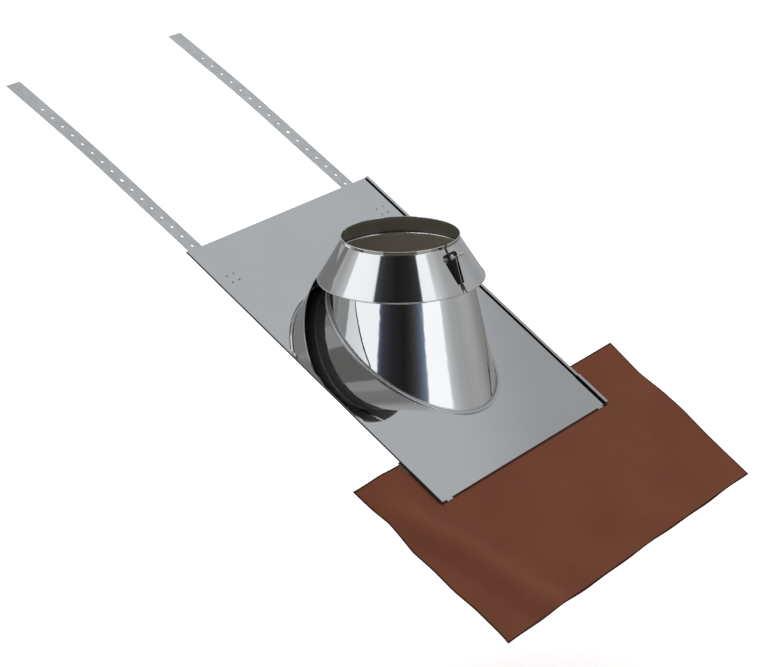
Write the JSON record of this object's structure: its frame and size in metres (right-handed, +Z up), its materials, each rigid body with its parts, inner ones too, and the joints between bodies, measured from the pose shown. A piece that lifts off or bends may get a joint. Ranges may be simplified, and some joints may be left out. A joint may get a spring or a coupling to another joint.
{
  "type": "roof flashing",
  "caption": "Pitched-roof flashing for a round flue: folded plate with a slanting cone, clamped storm collar, two perforated tie straps and a soft wavy apron at its foot.",
  "frame": {"origin": "on the flue's axis, halfway up the storm collar's neck", "axes": "+Z up the upright flue, +Y level and into the slope, so that the plate rises towards +Y at the roof's pitch of 2 in 3, +X to the right for someone who looks up the slope"},
  "size_m": [0.794, 1.1261, 0.7096],
  "materials": {
    "polished_steel": "bright polished stainless sheet",
    "strap_steel": "plain mill finish",
    "screw_steel": "plain stainless",
    "apron_coating": "matt brown coating"
  },
  "bodies": {
    "root": {"base_plate": "polished_steel", "flashing_cone": "polished_steel", "storm_collar": "polished_steel", "clamp_screw": "screw_steel", "clamp_nut": "screw_steel", "left_strap": "strap_steel", "right_strap": "strap_steel", "apron_carrier": "polished_steel", "apron": "apron_coating"}
  },
  "joints": []
}
